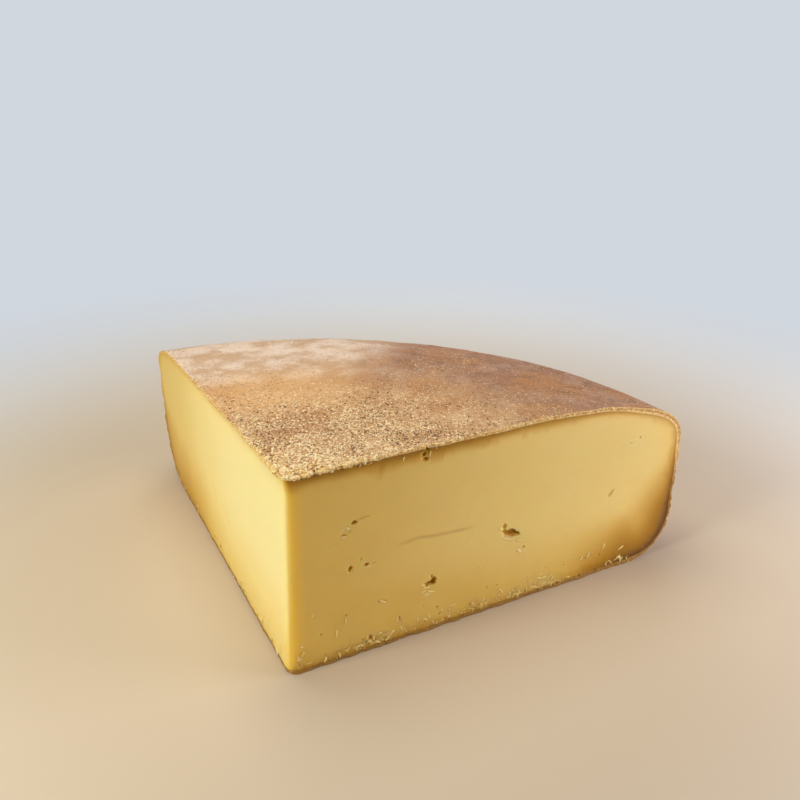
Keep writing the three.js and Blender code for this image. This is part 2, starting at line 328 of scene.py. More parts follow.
# The shape as distances

def corner_distance(x, y, reach, height, power):
    """Distance out of a quarter superellipse, with x and y counted from its centre"""
    a = np.maximum(x, TINY) / reach
    b = np.maximum(y, TINY) / height
    scale = (a**power + b**power) ** (1 / power)
    slope = scale ** (1 - power) * np.hypot(a ** (power - 1) / reach, b ** (power - 1) / height)
    return np.where((x > 0) & (y > 0), (scale - 1) / slope, np.maximum(x - reach, y - height))


def rind_distance(u, v, z):
    """Distance out of the smooth rind, without the cuts"""
    radius = np.hypot(u, v)
    share = np.clip(np.arctan2(v, np.maximum(u, TINY)) / (math.pi / 2), 0, 1)
    section = {key: RIGHT_SECTION[key] * (1 - share) + LEFT_SECTION[key] * share for key in RIGHT_SECTION}
    height = z / (1 - section["fall"] * radius / (section["radius"] * WHEEL_HEIGHT))
    shoulder = corner_distance(
        radius - section["radius"] + section["reach"],
        height - WHEEL_HEIGHT + section["drop"],
        section["reach"],
        section["drop"],
        section["power"],
    )
    foot = corner_distance(
        radius - section["radius"] + section["foot_reach"],
        section["foot_rise"] - height,
        section["foot_reach"],
        section["foot_rise"],
        FOOT_POWER,
    )
    return np.maximum(shoulder, foot)


def rind_relief(u, v, z):
    """Dents and swellings of the rind, which the weight has pressed flat near the base"""
    return rise(z, 0, RELIEF_FULL) * waves(u, v, z, RIND_DENTS, -RELIEF_SUNK)


def lip(along, z, under_rind, row):
    """How far the torn crust stands out of a cut face: most near the upright edge and least at the foot"""
    near_edge = APEX_TEAR * np.exp(-along / APEX_TEAR_SPAN) * (z > WHEEL_HEIGHT / 2)
    ragged = rise(along, 0, APEX_START) * (LIP_BEYOND + near_edge)
    ragged = ragged * (LIP_AT_FOOT + (1 - LIP_AT_FOOT) * rise(z, 0, LIP_FOOT_HEIGHT))
    flat = row * np.ones_like(along)
    out = LIP_OUT + LIP_TEAR * waves(along, flat, z, LIP_WAVES)
    return ragged * np.maximum(out, 0) * np.interp(under_rind, LIP_DEPTHS, LIP_SHARES)


def turned_to(along, z, middle, tilt):
    """Places counted from a middle, along and across a line at that tilt"""
    turn = math.radians(tilt)
    x, y = along - middle[0], z - middle[1]
    return x * math.cos(turn) + y * math.sin(turn), y * math.cos(turn) - x * math.sin(turn)


def creases(side, along, z):
    """How far the soft creases sink into a cut face"""
    total = 0
    for middle_u, middle_z, length, depth, width, tilt in CREASES[side]:
        x, y = turned_to(along, z, (middle_u, middle_z), tilt)
        y = y + 0.5 * noise(x, y * 0 + middle_z, y * 0, 6, 1)
        total = total + depth * np.exp(-((y / width) ** 2)) * fade(2 - 4 * np.abs(x) / length)
    return total


def torn_foot(along, z, row):
    """How far the paste that the knife tore above the base stands out, or sinks where negative"""
    flat = row * np.ones_like(along)
    ridges = waves(along, flat, TORN_FLAT * z, TORN_RIDGES)
    return ridges * np.exp(-z / TORN_RISE) * rise(along, 0, 3)


def smears_and_highlights(along, z):
    """Where pale paste lies over the right cut face, partly as a painted highlight, from 0 to 1"""
    total = 0
    for middle_u, middle_z, length, height, tilt in SMEARS_AND_HIGHLIGHTS:
        x, y = turned_to(along, z, (middle_u, middle_z), tilt)
        total = np.maximum(total, np.exp(-2 * ((2 * x / length) ** 2 + (2 * y / height) ** 2)))
    return total


def smooth_max(a, b, width):
    """The greater of two values, rounded where they are nearly equal"""
    blend = np.maximum(width - np.abs(a - b), 0) / width
    return np.maximum(a, b) + blend * blend * width / 4


def body_field():
    """The distances on a grid, with the place of the grid's first point"""
    reach = max(LEFT_SECTION["radius"], RIGHT_SECTION["radius"]) + FIELD_MARGIN
    low = -FIELD_STEP * (math.floor(FIELD_MARGIN / FIELD_STEP) + 0.5)
    flat = np.arange(low, reach, FIELD_STEP, dtype=np.float32)
    up = np.arange(low, WHEEL_HEIGHT + FIELD_MARGIN, FIELD_STEP, dtype=np.float32)
    u, v = flat[:, None, None], flat[None, :, None]
    rind = np.empty((len(flat), len(flat), len(up)), np.float32)
    for first in range(0, len(up), FIELD_SLAB):
        slab = slice(first, first + FIELD_SLAB)
        rind[:, :, slab] = rind_distance(u, v, up[slab])
    field = np.maximum(rind, np.maximum(-u, -v))
    near = np.nonzero(np.abs(field) < BAND)
    near_u, near_v, near_z = (axis[index] for axis, index in zip((flat, flat, up), near))
    near_rind = rind[near] - rind_relief(near_u, near_v, near_z)
    right = -near_v - lip(near_u, near_z, -near_rind, RIGHT_ROW)
    right = right + creases("right", near_u, near_z) * (np.abs(near_v) < BAND)
    right = right - torn_foot(near_u, near_z, RIGHT_ROW)
    left = -near_u - lip(near_v, near_z, -near_rind, LEFT_ROW)
    left = left + creases("left", near_v, near_z) * (np.abs(near_u) < BAND)
    left = left - TORN_ON_LEFT * torn_foot(near_v, near_z, LEFT_ROW)
    faces = smooth_max(right, left, EDGE_SOFT)
    faces = faces + waves(near_u, near_v, near_z, FACE_WAVES) * rise(near_z, 0, 3)
    field[near] = np.maximum(near_rind, faces)
    return np.clip(field, -FIELD_CLIP, FIELD_CLIP), low


# Meshes

def mesh_object(name, points, polygons):
    """An object of one mesh from arrays of points and of polygons with one corner count each"""
    mesh = bpy.data.meshes.new(name)
    mesh.vertices.add(len(points))
    mesh.vertices.foreach_set("co", np.asarray(points, np.float32).ravel())
    corners = np.concatenate([p.ravel() for p in polygons])
    sizes = np.concatenate([np.full(len(p), p.shape[1]) for p in polygons if len(p)])
    mesh.loops.add(len(corners))
    mesh.loops.foreach_set("vertex_index", corners.astype(np.int32))
    mesh.polygons.add(len(sizes))
    mesh.polygons.foreach_set("loop_start", (np.cumsum(sizes) - sizes).astype(np.int32))
    mesh.update(calc_edges=True)
    mesh.validate()
    thing = bpy.data.objects.new(name, mesh)
    bpy.context.scene.collection.objects.link(thing)
    return thing


def apply_modifiers(thing):
    graph = bpy.context.evaluated_depsgraph_get()
    graph.update()
    done = bpy.data.meshes.new_from_object(thing.evaluated_get(graph))
    thing.modifiers.clear()
    old = thing.data
    thing.data = done
    bpy.data.meshes.remove(old)


def points_of(thing):
    points = np.empty(len(thing.data.vertices) * 3, np.float32)
    thing.data.vertices.foreach_get("co", points)
    return points.reshape(-1, 3)


def ball(subdivisions):
    """Points and triangles of a ball of radius 1"""
    work = bmesh.new()
    bmesh.ops.create_icosphere(work, subdivisions=subdivisions, radius=1)
    points = np.array([v.co for v in work.verts], np.float32)
    triangles = np.array([[v.index for v in f.verts] for f in work.faces], np.int32)
    work.free()
    return points, triangles


def store(thing, name, values):
    layer = thing.data.attributes.new(name, "FLOAT", "POINT")
    layer.data.foreach_set("value", np.asarray(values, np.float32))


# Eyes

def fineness(length):
    """How often the ball that makes a hollow of this length is subdivided"""
    if length > 4:
        return 5
    if length > 1.8:
        return 4
    return 3


def eye_hollow(eye, side, seed):
    """The hollow of one eye: a ragged lens, pointed at its two ends, sunk into a cut face"""
    along, up, length, height, depth, tilt = eye
    points, triangles = ball(fineness(length))
    x, y, z = points.T
    rough = EYE_RAGGED * noise(x, y, z, 0.45, seed) + EYE_FINELY_RAGGED * noise(x, y, z, 0.17, seed + 7)
    pointed = 1 - EYE_POINTED * x**2
    x = x * (1 + rough) * length / 2
    y = y * (1 + rough) * depth
    z = z * (1 + rough) * pointed * height / 2
    turn = math.radians(tilt)
    x, z = x * math.cos(turn) - z * math.sin(turn), x * math.sin(turn) + z * math.cos(turn)
    if side == "left":
        return np.stack([y, x + along, z + up], axis=1), triangles[:, ::-1]
    return np.stack([x + along, y, z + up], axis=1), triangles


def torn_pits(rng, count):
    """Small torn pits, more of them near the base"""
    size = PIT_SIZE * rng.uniform(0.6, 1.6, count)
    along = rng.uniform(PIT_FROM, PIT_TO, count)
    up = PIT_LOWEST + PIT_RISE * rng.uniform(0, 1, count) ** 2.2
    length = size * rng.uniform(1, 2.2, count)
    depth = size * rng.uniform(0.35, 0.6, count)
    return list(zip(along, up, length, size, depth, rng.uniform(-30, 60, count)))


def cut_eyes(body):
    rng = seeded(7)
    hollows = bpy.data.collections.new("hollows")
    bpy.context.scene.collection.children.link(hollows)
    eyes = {
        "right": [*RIGHT_EYES, *torn_pits(rng, PITS["right"])],
        "left": torn_pits(rng, PITS["left"]),
    }
    for side, found in eyes.items():
        for k, eye in enumerate(found):
            points, triangles = eye_hollow(eye, side, 10.0 * k)
            hollow = mesh_object("hollow", points, [triangles])
            bpy.context.scene.collection.objects.unlink(hollow)
            hollows.objects.link(hollow)
    cut = body.modifiers.new("eyes", "BOOLEAN")
    cut.operation = "DIFFERENCE"
    cut.operand_type = "COLLECTION"
    cut.collection = hollows
    cut.solver = "MANIFOLD"
    apply_modifiers(body)
    for hollow in list(hollows.objects):
        mesh = hollow.data
        bpy.data.objects.remove(hollow)
        bpy.data.meshes.remove(mesh)
    bpy.data.collections.remove(hollows)


def make_body():
    """The cheese as one mesh, with attributes that its material reads"""
    field, low = body_field()
    grid = openvdb.FloatGrid(FIELD_CLIP)
    grid.copyFromArray(field)
    points, triangles, quads = grid.convertToPolygons(isovalue=0, adaptivity=0)
    body = mesh_object("cheese", points * FIELD_STEP + low, [triangles, quads])
    decimate = body.modifiers.new("decimate", "DECIMATE")
    decimate.ratio = min(1, BODY_TRIANGLES / (len(triangles) + 2 * len(quads)))
    apply_modifiers(body)
    cut_eyes(body)
    body.data.shade_smooth()
    body.data.set_sharp_from_angle(angle=math.radians(SHARP_ANGLE))
    u, v, z = points_of(body).T
    under = rind_relief(u, v, z) - rind_distance(u, v, z)
    # Depth under the rind in widths of the crust, depth behind the nearer cut face in millimetres, and below,
    # the distance from the upright edge in millimetres and the share of the look of the left side's rind
    store(body, "under_crust", under / crust_width(u, v, z))
    store(body, "behind_face", np.minimum(u, v))
    # Darkening towards the rind: partly the paste's own browning, partly painted shade
    store(body, "browning_and_shade", browning_and_shade(u, v, z, under))
    # Painted shade and light of the paste, which the material reads
    store(body, "painted_shade_and_light", painted_shade_and_light(u, v, z))
    store(body, "smear_and_highlight", smears_and_highlights(u, z) * (v < 0.6) * (under > 1))
    # The sinking of the creases and of the torn foot, which the material darkens as painted shade
    sunk = np.maximum(creases("right", u, z), 0) + np.maximum(-torn_foot(u, z, RIGHT_ROW), 0)
    store(body, "crease", sunk * (v < 1) * (u > 2))
    store(body, "height", z)
    store(body, "from_edge", np.hypot(u, v))
    store(body, "to_left", fade(0.5 + (v - u) / 150 + 0.3 * noise(u, v, z, 34, 5)))
    return body


def crust_width(u, v, z):
    """How wide the rind shows on the cut faces: widest at the right shoulder"""
    radius = np.hypot(u, v)
    right = on_right(u, v)
    shoulder = right * rise(radius, 112, 138) * rise(z, 34, 48)
    foot = 1 - rise(z, 1.5, 4.5)
    beyond = right * rise(radius, 30, 90)
    return CRUST_WIDTH * (1 + 0.4 * beyond + 1.1 * shoulder + 0.8 * foot)


def painted_shade_and_light(u, v, z):
    """Painted shade and light of the paste, from -1 to 1: up to 1, a yellower painted shade, low and near the
    upright edge on the right cut face, and on the left one low and towards the rim; down to -1, a paler
    painted light, near that edge on the left one"""
    radius = np.hypot(u, v)
    right = on_right(u, v)
    near = 1 - rise(radius, 0, 90)
    gold = np.clip(0.25 + 0.75 * near + 0.8 * (1 - rise(z, 0, 30)), 0, 1)
    # Painted light on the left cut face near the upright edge, and painted shade on it low and towards the
    # rim
    paler = (1 - rise(radius, 20, 120)) * (0.4 + 0.6 * rise(z, 6, 40))
    left_shade = 0.9 * (1 - rise(z, 0, 36)) + 0.7 * rise(radius, 60, 130)
    return right * gold + (1 - right) * (left_shade - paler)


def browning_and_shade(u, v, z, depth):
    """How much darker and browner the paste is towards the rind, from 0 to 1, partly its own colour and
    partly painted
    shade: in a narrow band under the top, which paints the shadow under the torn crust, and in a wide one at
    the foot and the rim, which paints shade there"""
    radius = np.hypot(u, v)
    right = on_right(u, v)
    below = np.maximum(depth - CRUST_WIDTH, 0) * (1 + 0.2 * noise(u, v, z, 9, 4))
    near = 1 - rise(radius, 40, 130)
    band = (0.06 + right * (0.22 + 0.18 * near)) * np.exp(-((below / (1.9 + near)) ** 2))
    under = band + (0.08 + 0.12 * right) * np.exp(-below / 0.7) + 0.06 * np.exp(-below / 6)
    foot = (0.2 + 0.3 * right * (1 - 0.6 * rise(radius, 60, 100))) * np.exp(-below / 2.2)
    # The wide darkening at the rims is mostly painted shade where the face rounds away, over some real
    # browning
    right_rim_brown_and_shade = 0.5 * np.exp(-((below / 16) ** 2)) + 0.3 * np.exp(-below / 5)
    left_rim_brown_and_shade = 0.24 * np.exp(-((below / 26) ** 2)) + 0.2 * np.exp(-below / 6)
    rim = right * (rise(radius, 92, 134) * right_rim_brown_and_shade) + (1 - right) * (rise(radius, 60, 120) * left_rim_brown_and_shade)
    low = rise(z, 46, 12)
    side = (0.1 + 0.14 * right) * rise(radius, 112, 142) * np.exp(-below / 2)
    return np.clip((1 - low) * (under + side) + low * (foot + rim), 0, 1)


# Crumbs and grains

def frames_on(normals, rng):
    """For each normal an upright frame turned at random about it, as columns"""
    helper = rng.normal(size=normals.shape)
    across = np.cross(normals, helper)
    across /= np.linalg.norm(across, axis=1, keepdims=True)
    return np.stack([across, np.cross(normals, across), normals], axis=2)


def places_on(thing, count, density, rng):
    """Random places on a mesh with their normals, where density gives how likely each triangle is"""
    mesh = thing.data
    mesh.calc_loop_triangles()
    corners = np.empty(len(mesh.loop_triangles) * 3, np.int32)
    mesh.loop_triangles.foreach_get("vertices", corners)
    a, b, c = points_of(thing)[corners.reshape(-1, 3)].transpose(1, 0, 2)
    normals = np.cross(b - a, c - a)
    area = np.linalg.norm(normals, axis=1) / 2
    normals /= 2 * np.maximum(area[:, None], 1e-12)
    weight = area * density((a + b + c) / 3, normals)
    chosen = np.searchsorted(np.cumsum(weight) / weight.sum(), rng.uniform(0, 1, count))
    s = np.sqrt(rng.uniform(0, 1, (count, 1)))
    t = rng.uniform(0, 1, (count, 1))
    places = (1 - s) * a[chosen] + s * (1 - t) * b[chosen] + s * t * c[chosen]
    return places, normals[chosen]


def scatter(name, places, frames, sizes, shape, rng, ragged, paler=0.0, curl=0.0):
    """Ragged bits of one shape at the places, each with its length, width and height and its own tint"""
    points, triangles = shape
    count = len(places)
    rough = 1 + ragged * rng.uniform(-1, 1, (count, len(points), 1))
    bits = points[None] * rough * sizes[:, None, :] / 2
    reach = points[None, :, 0] ** 2 * sizes[:, :1]
    bits[:, :, 1] += (curl * rng.uniform(-1, 1, count))[:, None] * reach
    bits[:, :, 2] += (curl * rng.uniform(0, 0.7, count))[:, None] * reach
    turned = np.einsum("nij,nkj->nki", frames, bits) + places[:, None, :]
    corners = triangles[None] + len(points) * np.arange(count)[:, None, None]
    thing = mesh_object(name, turned.reshape(-1, 3), [corners.reshape(-1, 3)])
    thing.data.shade_smooth()
    store(thing, "tint", np.repeat(rng.uniform(0, 1, count) + paler, len(points)))
    return thing


def grain_density(centre, normal):
    """Grains of the rind: thick near the upright edge, thin towards the rim, none on the cuts and the base"""
    u, v, z = centre.T
    radius = np.hypot(u, v)
    on_rind = np.minimum(u, v) > 0.2
    on_rind &= -rind_distance(u, v, z) < 0.8
    near = np.exp(-((radius / np.where(u > v, 74, 54)) ** 2))
    along_cut = np.exp(-np.minimum(u, v) / 6)
    uneven = 1 + 0.8 * noise(u, v, z, 10, 8)
    return on_rind * (z > 8) * (0.02 + 1.4 * near + 0.3 * along_cut) * uneven


def make_grains(body):
    """Grains on the rind: larger near the upright edge, smaller and darker far from it"""
    rng = seeded(11)
    places, normals = places_on(body, GRAINS, grain_density, rng)
    radius = np.hypot(places[:, 0], places[:, 1])
    far = rise(radius, 50, 90)
    size = 0.34 + 0.7 * rng.uniform(0, 1, (GRAINS, 1)) ** 2.5
    size = size * (1 + 0.9 * np.exp(-radius / 13) - 0.45 * far)[:, None]
    sizes = size * rng.uniform((0.8, 0.6, 0.4), (1.5, 1.0, 0.8), (GRAINS, 3))
    octahedron = (
        np.array([(1, 0, 0), (-1, 0, 0), (0, 1, 0), (0, -1, 0), (0, 0, 1), (0, 0, -1)], np.float32),
        np.array([(0, 2, 4), (2, 1, 4), (1, 3, 4), (3, 0, 4), (2, 0, 5), (1, 2, 5), (3, 1, 5), (0, 3, 5)]),
    )
    frames = frames_on(normals, rng)
    paler = 0.35 * noise(*places.T, 8, 2) - 0.25 * far
    return scatter("rind_grains", places, frames, sizes, octahedron, rng, 0.3, paler)


def on_cuts(centre, normal):
    """Whether each triangle lies in one of the cut faces"""
    return (np.minimum(centre[:, 0], centre[:, 1]) < 0.25) & (np.minimum(normal[:, 0], normal[:, 1]) < -0.5)


def crumb_density(centre, normal):
    """Crumbs along the torn crust of the top, on both sides of it, and a few above the base"""
    u, v, z = centre.T
    depth = -rind_distance(u, v, z)
    along, inward = np.maximum(u, v), np.minimum(u, v)
    near_edge = np.exp(-along / 18)
    right = on_right(u, v)
    crust = (depth < 0.9) * (z > 12) * (0.10 + 0.6 * right + 3 * near_edge)
    hanging = right * (z > 50) * np.exp(-along / 26) * np.exp(-depth / 0.7) * (depth < 2) * 1.4
    crust = crust + hanging * (noise(along, z * 0, z * 0, 3, 14) > 0)
    above = (depth < 0.6) * (z > 50) * (0.2 + 2 * near_edge) * np.exp(-inward / (0.4 + 2.8 * near_edge))
    base = 0.05 * np.exp(-z / 2.6) * (0.2 + np.maximum(noise(u, v, z, 7, 1), 0)) * (0.4 + 0.6 * right)
    return on_cuts(centre, normal) * (crust + base) + (normal[:, 2] > 0.5) * above


def make_crumbs(body):
    """Crumbs of crust, larger near the upright edge"""
    rng = seeded(13)
    places, normals = places_on(body, CRUMBS, crumb_density, rng)
    near_edge = np.exp(-np.hypot(places[:, 0], places[:, 1])[:, None] / 40)
    size = (0.3 + 0.6 * rng.uniform(0, 1, (CRUMBS, 1)) ** 2) * (0.65 + 0.5 * near_edge)
    sizes = size * rng.uniform((0.9, 0.5, 0.4), (1.8, 1.0, 0.8), (CRUMBS, 3))
    return scatter("crumbs", places, frames_on(normals, rng), sizes, ball(2), rng, 0.3)


def flake_density(centre, normal):
    """Flakes of paste that the knife dragged up: in clusters above the base, mostly on the right cut face"""
    u, v, z = centre.T
    clusters = 0.4 + np.maximum(noise(u, v, z * 0, 9, 6), 0)
    spread = np.exp(-np.abs(z - 2) / 1.6) * (1 - 0.6 * rise(u, 95, 115)) * (rind_distance(u, v, z) < -2)
    return on_cuts(centre, normal) * (0.25 + 0.75 * on_right(u, v)) * clusters * spread


def make_flakes(body):
    """The burrs at their places and the flakes at random ones, as one mesh"""
    rng = seeded(17)
    places, normals = places_on(body, FLAKES, flake_density, rng)
    places = places - FLAKES_SUNK * normals
    length = rng.uniform(0.7, 2.6, (FLAKES, 1)) * rng.uniform(0.6, 1, (FLAKES, 1))
    sizes = length * rng.uniform((0.9, 0.25, 0.25), (1.1, 0.45, 0.4), (FLAKES, 3))
    burrs = np.array(BURRS)
    turn = np.radians(burrs[:, 4])
    along = np.stack([np.cos(turn), 0 * turn, np.sin(turn)], axis=1)
    outward = np.tile((0.0, -1.0, 0.0), (len(burrs), 1))
    burr_frames = np.stack([along, np.cross(outward, along), outward], axis=2)
    burr_places = np.stack([burrs[:, 0], 0 * turn, burrs[:, 1]], axis=1)
    burr_sizes = np.stack([burrs[:, 2], burrs[:, 3], np.full(len(burrs), BURR_HEIGHT)], axis=1)
    numbers = (len(burrs), FLAKES)
    return scatter(
        "flakes",
        np.concatenate([burr_places, places]),
        np.concatenate([burr_frames, frames_on(normals, rng)]),
        np.concatenate([burr_sizes, sizes]),
        ball(3),
        rng,
        0.28,
        np.repeat((BURR_PALER, FLAKE_PALER), numbers),
        np.repeat((BURR_CURL, FLAKE_CURL), numbers),
    )


def settle(thing):
    """Moves a mesh from the cut faces' axes in millimetres to the frame in metres, with the knife's lean, and
    keeps it between the base and the highest point"""
    u, v, z = points_of(thing).T
    z = np.clip(z, 0, HIGHEST)
    inward = np.maximum(1 - np.hypot(u, v) / RIGHT_SECTION["radius"], 0)
    u = u + LEAN * (z / WHEEL_HEIGHT - LEAN_PIVOT) * inward
    half = math.sqrt(0.5)
    placed = np.stack([EDGE_X + (u - v) * half, EDGE_Y + (u + v) * half, z], axis=1)
    thing.data.vertices.foreach_set("co", (placed * MM).astype(np.float32).ravel())
    thing.data.update()


# Materials

def colour(red, green, blue):
    """A colour from its sRGB values of 0 to 255"""
    values = [c / 255 for c in (red, green, blue)]
    return (*(c / 12.92 if c <= 0.04045 else ((c + 0.055) / 1.055) ** 2.4 for c in values), 1)


class Graph:
    """Short calls that add nodes to a material"""

    def __init__(self, name):
        self.material = bpy.data.materials.new(name)
        self.material.use_nodes = True
        self.tree = self.material.node_tree
        self.shader = self.tree.nodes["Principled BSDF"]
        self.place = self.add("ShaderNodeTexCoord").outputs["Object"]

    def add(self, kind, **settings):
        node = self.tree.nodes.new(kind)
        for key, value in settings.items():
            setattr(node, key, value)
        return node

    def put(self, socket, value):
        if isinstance(value, bpy.types.NodeSocket):
            self.tree.links.new(value, socket)
        else:
            socket.default_value = value

    def set(self, **inputs):
        for key, value in inputs.items():
            self.put(self.shader.inputs[key.replace("_", " ").title().replace("Ior", "IOR")], value)

    def attribute(self, name):
        return self.add("ShaderNodeAttribute", attribute_name=name).outputs["Fac"]

    def math(self, operation, *values):
        node = self.add("ShaderNodeMath", operation=operation)
        for socket, value in zip(node.inputs, values):
            self.put(socket, value)
        return node.outputs[0]

    def step(self, value, low, high, to_low=0.0, to_high=1.0):
        """Goes smoothly from to_low to to_high as the value goes from low to high"""
        node = self.add("ShaderNodeMapRange", interpolation_type="SMOOTHSTEP")
        names = ("Value", "From Min", "From Max", "To Min", "To Max")
        for key, number in zip(names, (value, low, high, to_low, to_high)):
            self.put(node.inputs[key], number)
        return node.outputs[0]

    def noise(self, size, detail=3.0, roughness=0.5, stretch=(1, 1, 1), shift=0.0):
        """Noise from 0 to 1 with spots of one size in millimetres"""
        mapping = self.add("ShaderNodeMapping")
        self.put(mapping.inputs["Vector"], self.place)
        self.put(mapping.inputs["Scale"], stretch)
        self.put(mapping.inputs["Location"], (shift, shift, shift))
        node = self.add("ShaderNodeTexNoise")
        self.put(node.inputs["Vector"], mapping.outputs[0])
        self.put(node.inputs["Scale"], 1 / (size * MM))
        self.put(node.inputs["Detail"], detail)
        self.put(node.inputs["Roughness"], roughness)
        return node.outputs["Fac"]

    def mix(self, share, first, second):
        """Goes from the first colour to the second as the share goes from 0 to 1, and no further"""
        node = self.add("ShaderNodeMix", data_type="RGBA")
        self.put(node.inputs[0], share)
        self.put(node.inputs[6], first)
        self.put(node.inputs[7], second)
        return node.outputs[2]

    def bump(self, height, distance, strength=1.0, normal=None):
        node = self.add("ShaderNodeBump")
        self.put(node.inputs["Height"], height)
        self.put(node.inputs["Distance"], distance * MM)
        self.put(node.inputs["Strength"], strength)
        if normal is not None:
            self.put(node.inputs["Normal"], normal)
        return node.outputs[0]


def paste_colour(g, inside):
    """The cut paste: yellower where the attribute paints shade and pale where it paints light, with a painted
    glow along the upright edge, pale patches that are partly painted highlight, painted shade in the creases
    and the eyes, and darker and browner towards the rind, partly its own colour and partly painted shade
    """
    # The paste lit and shaded: pale is the paste under painted light, gold the same paste under painted shade
    pale = g.mix(g.noise(22, 2), colour(242, 215, 130), colour(248, 225, 150))
    gold = g.mix(g.noise(14, 3), colour(226, 188, 92), colour(234, 200, 106))
    shading_share = g.attribute("painted_shade_and_light")
    # Paler still where the left cut face is painted as lit
    pale = g.mix(g.step(shading_share, 0, -1), pale, colour(255, 229, 160))
    lit_and_shaded = g.mix(shading_share, pale, gold)
    # A painted glow: the right cut face yellower within a few millimetres of the upright edge, where light
    # shines through the paste from the lit left face
    painted_glow = g.math("MULTIPLY", g.step(g.attribute("from_edge"), 7, 0.5), shading_share)
    glowing = g.mix(painted_glow, lit_and_shaded, colour(240, 203, 80))
    # Pale patches, partly painted highlight
    smeared_and_lit = g.mix(g.step(g.attribute("smear_and_highlight"), 0.1, 1.1), glowing, colour(255, 238, 176))
    # Painted shade in the sunk creases and the torn hollows above the base
    crease_shaded = g.mix(g.step(g.attribute("crease"), 0.05, 0.35, 0, 0.35), smeared_and_lit, colour(176, 126, 40))
    # Darker towards the rind, partly the paste's own colour and partly painted shade, down to a dark ochre at
    # the shaded lower rim
    brown_and_shade_share = g.attribute("browning_and_shade")
    yellowed = g.mix(g.step(brown_and_shade_share, 0, 0.3, 0, 0.7), crease_shaded, colour(232, 186, 78))
    ochre = g.mix(g.step(brown_and_shade_share, 0, 0.55), yellowed, colour(182, 130, 10))
    rim = g.mix(g.step(brown_and_shade_share, 0.4, 1), ochre, colour(106, 61, 0))
    # Painted shade in the eyes and pits: inside them the paste turns a deep yellow ochre
    return g.mix(inside, rim, colour(212, 164, 26))


def crust_colour(g, crust):
    """The cut through the rind: pale gold along its two edges, partly a painted highlight where the torn lip
    catches light, browner between them, partly painted shade, and dark along the base and the lower rim,
    partly the rind's own colour and partly painted shade
    """
    flecks = g.noise(0.9, 3, 0.6)
    # The middle is partly painted shade, and the two pale edges partly painted highlight
    core = g.mix(g.step(flecks, 0.40, 0.62), colour(200, 146, 76), colour(228, 182, 108))
    sides = g.mix(g.step(flecks, 0.38, 0.60), colour(230, 184, 108), colour(252, 224, 160))
    between = g.math("MULTIPLY", g.step(crust, 0.1, 0.45), g.step(crust, 1.0, 0.65))
    cut = g.mix(between, sides, core)
    base = g.mix(flecks, colour(122, 78, 14), colour(196, 148, 60))
    # Dark along the base and the lower rim: partly the rind's own colour, partly painted shade
    height, far = g.attribute("height"), g.attribute("from_edge")
    base_brown_and_shade = g.step(height, 5, 2.5)
    rim_brown_and_shade = g.math("MULTIPLY", g.step(height, 42, 26), g.step(far, 105, 130))
    return g.mix(g.math("MAXIMUM", base_brown_and_shade, rim_brown_and_shade), cut, base)


def rind_colour(g):
    """The rind: orange-brown, with a pinkish bloom to the left and a darker, rosier skin to the right, whose
    darkness is partly painted shade
    """
    wide, middle = g.noise(30, 4, 0.55), g.noise(13, 4, 0.6, shift=0.3)
    left, far = g.attribute("to_left"), g.attribute("from_edge")
    tan = g.mix(g.step(middle, 0.35, 0.66), colour(216, 158, 98), colour(238, 194, 136))
    orange = g.mix(g.step(wide, 0.5, 0.66), tan, colour(206, 142, 78))
    grainy = g.mix(g.step(far, 90, 30, 0, 0.45), orange, colour(170, 114, 70))
    # The rosier skin to the right is painted darker, partly as shade
    rosy = g.mix(g.step(middle, 0.40, 0.62), colour(156, 100, 66), colour(170, 122, 96))
    brown = g.mix(g.step(wide, 0.44, 0.56), rosy, colour(172, 110, 54))
    brown = g.mix(g.step(g.noise(7, 4, 0.6, shift=0.7), 0.52, 0.36, 0, 0.6), brown, colour(118, 72, 44))
    bloom = g.mix(g.step(middle, 0.38, 0.62), colour(208, 168, 132), colour(238, 212, 192))
    right = g.mix(g.step(far, 45, 110), grainy, brown)
    warm = g.math("MULTIPLY", g.step(far, 42, 62), g.step(far, 98, 76, 0, 0.7))
    leftward = g.mix(g.step(far, 72, 106), g.mix(warm, grainy, colour(228, 172, 106)), bloom)
    ground = g.mix(g.step(left, 0.25, 0.75), right, leftward)
    streaks = g.noise(0.8, 3, 0.75, stretch=(0.5, 1, 1))
    patchy = g.math("ADD", streaks, g.math("MULTIPLY", g.math("SUBTRACT", middle, 0.5), 0.25))
    smooth = g.math("MULTIPLY", g.step(far, 30, 95), 0.055)
    darker = g.step(g.math("ADD", streaks, smooth), 0.48, 0.36, 0, 0.7)
    dark = g.mix(darker, ground, colour(122, 76, 46))
    pale = g.step(g.math("SUBTRACT", patchy, smooth), 0.53, 0.66)
    share = g.math("MULTIPLY", pale, g.step(far, 50, 110, 0.9, 0.65))
    specks = g.mix(share, dark, colour(254, 232, 196))
    return g.mix(g.step(g.noise(0.3, 2), 0.35, 0.65, 0, 0.2), specks, colour(236, 204, 170))


